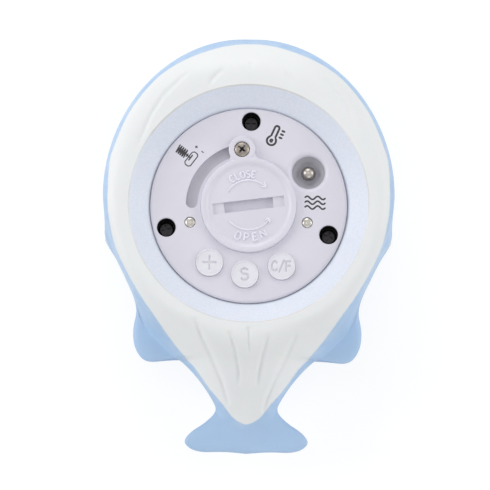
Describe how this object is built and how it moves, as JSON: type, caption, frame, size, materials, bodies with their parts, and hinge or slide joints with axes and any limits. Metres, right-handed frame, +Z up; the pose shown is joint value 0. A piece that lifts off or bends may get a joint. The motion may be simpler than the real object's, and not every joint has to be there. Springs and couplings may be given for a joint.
{
  "type": "baby bath thermometer",
  "caption": "Floating whale-shaped bath thermometer with a round electronic module in its belly, a coin-turned battery door, push keys and a display on its back.",
  "frame": {"origin": "centre of the bounding box at its lowest level, on the plane of the display bezel", "axes": "+Y along the whale towards its head, +Z up out of the belly through the module, +X to the right as seen from above with the head away"},
  "size_m": [0.081, 0.115, 0.0371],
  "materials": {
    "vinyl_skin": "soft matte vinyl, light blue, belly sprayed white",
    "module_plastic": "fine matt ABS, pale lilac white",
    "door_plastic": "fine matt ABS, pale lilac white",
    "key_silicone": "soft silicone",
    "steel": "plain stainless steel",
    "blackened_steel": "black oxide",
    "seal_rubber": "plain",
    "lens_plastic": "clear, polished",
    "display_glass": "smooth glass",
    "circuit_board": "green lacquer",
    "connector_rubber": "plain",
    "ribbon_film": "amber film",
    "switch_metal": "tinned",
    "cell_can": "nickel plated"
  },
  "bodies": {
    "whale": {"body_shell": "vinyl_skin", "module_base": "module_plastic", "module_housing": "module_plastic", "housing_seal": "seal_rubber", "display_lens": "lens_plastic", "lcd_panel": "display_glass", "connector_strip_head": "connector_rubber", "connector_strip_tail": "connector_rubber", "display_board": "circuit_board", "key_board": "circuit_board", "board_ribbon": "ribbon_film", "key_switch_plus": "switch_metal", "key_switch_set": "switch_metal", "key_switch_unit": "switch_metal", "cover_screw_top": "blackened_steel", "cover_screw_left": "blackened_steel", "cover_screw_right": "blackened_steel", "temperature_probe": "steel", "water_contact_left": "steel", "water_contact_right": "steel", "battery_cell_upper": "cell_can", "battery_cell_lower": "cell_can", "battery_spring": "steel"},
    "door": {"battery_door": "door_plastic", "door_screw": "steel", "door_seal": "seal_rubber", "door_contact": "steel"},
    "key_plus": {"key_plus": "key_silicone"},
    "key_set": {"key_set": "key_silicone"},
    "key_unit": {"key_unit": "key_silicone"}
  },
  "joints": [
    {"name": "door_turn", "type": "hinge", "parent": "whale", "child": "door", "pos_m": [0, 0.0095, 0.033], "axis": [0, 0, 1], "range_deg": [0, 80]},
    {"name": "key_plus_press", "type": "slide", "parent": "whale", "child": "key_plus", "axis": [0, 0, -1], "range_m": [0, 0.0006], "stiffness_N_per_m": 3000},
    {"name": "key_set_press", "type": "slide", "parent": "whale", "child": "key_set", "axis": [0, 0, -1], "range_m": [0, 0.0006], "stiffness_N_per_m": 3000},
    {"name": "key_unit_press", "type": "slide", "parent": "whale", "child": "key_unit", "axis": [0, 0, -1], "range_m": [0, 0.0006], "stiffness_N_per_m": 3000}
  ]
}
